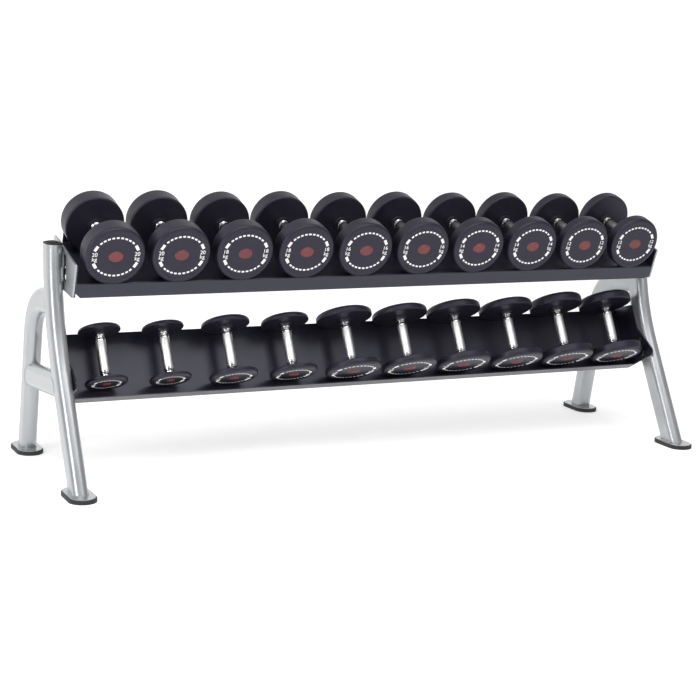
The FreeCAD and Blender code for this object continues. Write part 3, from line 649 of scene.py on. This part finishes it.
# %% Weld tree
weld, given = new_geometry_tree("Weld seam", [
    ("Spacing", FLOAT), ("Bead radius", FLOAT), ("Spread", FLOAT)])
path = weld.add("GeometryNodeMeshToCurve", {0: given["Geometry"]}).outputs[0]
path = weld.add("GeometryNodeResampleCurve", {"Curve": path, "Length": given["Spacing"]},
                mode="LENGTH").outputs[0]
bead = weld.add("GeometryNodeMeshUVSphere", {"Segments": 10, "Rings": 7,
                                             "Radius": given["Bead radius"]}).outputs[0]
small = weld.math("SUBTRACT", 1.0, given["Spread"])
large = weld.math("ADD", 1.0, given["Spread"])
size = weld.add("FunctionNodeRandomValue", {"Min": small, "Max": large, "Seed": 7},
                data_type="FLOAT")
size = [socket for socket in size.outputs if socket.enabled][0]
beads = weld.add("GeometryNodeInstanceOnPoints", {"Points": path, "Instance": bead,
                                                  "Scale": size}).outputs[0]
beads = weld.add("GeometryNodeRealizeInstances", {0: beads}).outputs[0]
beads = weld.add("GeometryNodeSetShadeSmooth", {"Geometry": beads}).outputs[0]
close_tree(weld, coloured(weld, beads, silver))

paths = bpy.data.meshes.new("weld_paths")
points = []
edges = []
for loop in seams:
    start = len(points)
    points += loop
    edges += [(start + i, start + i + 1) for i in range(len(loop) - 1)]
paths.from_pydata(points, edges, [])
piece = grow("weld_seams", weld, {"Spacing": 0.0020, "Bead radius": 0.0016, "Spread": 0.15},
             paths)
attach(piece, "rack")
print("weld seams have", len(piece.data.polygons), "faces")

# %% [markdown]
# ## Floor and light
# The rack stands in a bright studio on a pale sweep. A large soft light above and in
# front lights the trays, a narrow one on the left draws the long highlight down the
# front leg, and the pale surroundings fill the shadows. The paper glows a little, which
# keeps it white behind the rack.

# %% Stage
BACKDROP_START, BACKDROP_RADIUS, BACKDROP_TOP = 2.6, 1.5, 5.0
PAPER_FRONT, PAPER_HALF_WIDTH = -9.0, 12.0
BACKDROP_STEPS = 12

profile = [(PAPER_FRONT, 0.0), (BACKDROP_START, 0.0)]
for i in range(1, BACKDROP_STEPS + 1):
    angle = math.pi / 2 * i / BACKDROP_STEPS
    profile.append((BACKDROP_START + BACKDROP_RADIUS * math.sin(angle),
                    BACKDROP_RADIUS * (1 - math.cos(angle))))
profile.append((profile[-1][0], BACKDROP_TOP))
sweep = bpy.data.meshes.new("floor")
sweep.from_pydata([(x, y, z) for y, z in profile
                   for x in (-PAPER_HALF_WIDTH, PAPER_HALF_WIDTH)], [],
                  [(2 * i, 2 * i + 1, 2 * i + 3, 2 * i + 2) for i in range(len(profile) - 1)])
floor = bpy.data.objects.new("floor", sweep)
bpy.context.scene.collection.objects.link(floor)
paper = finish("Paper sweep", grey(0.86), grey(0.84), grey(0.86), wear=0.0, scale=60,
               fine=0.03, broad=0.0, rough=0.9, dust=0.0, Emission_Color=grey(1.0),
               Emission_Strength=0.45)
sweep.materials.append(paper)
for polygon in sweep.polygons:
    polygon.use_smooth = True


def area_light(name, place, target, power, width, height):
    light = bpy.data.lights.new(name, "AREA")
    light.shape = "RECTANGLE"
    light.energy = power
    light.size = width
    light.size_y = height
    lamp = bpy.data.objects.new(name, light)
    lamp.location = place
    lamp.rotation_euler = (Vector(target) - Vector(place)).to_track_quat("-Z", "Y").to_euler()
    bpy.context.scene.collection.objects.link(lamp)


area_light("top softbox", (-0.4, -1.6, 3.4), (0, 0, 0.4), 90, 4.5, 2.5)
area_light("left strip", (-4.2, -1.6, 1.6), (-1.0, 0, 0.4), 55, 0.9, 2.6)
area_light("front fill", (1.2, -6.0, 1.4), (0, 0, 0.4), 30, 4.0, 2.4)

world = bpy.data.worlds.new("studio")
bpy.context.scene.world = world
world.use_nodes = True
w = Tree(world.node_tree)
background = world.node_tree.nodes["Background"]
direction = w.add("ShaderNodeTexCoord").outputs["Generated"]
rise = w.add("ShaderNodeSeparateXYZ", {0: direction}).outputs["Z"]
w.tree.links.new(w.mix(w.span(rise, -0.2, 0.6), grey(0.80), grey(1.0)),
                 background.inputs["Color"])
background.inputs["Strength"].default_value = 0.4
bpy.context.scene.view_settings.view_transform = "Standard"
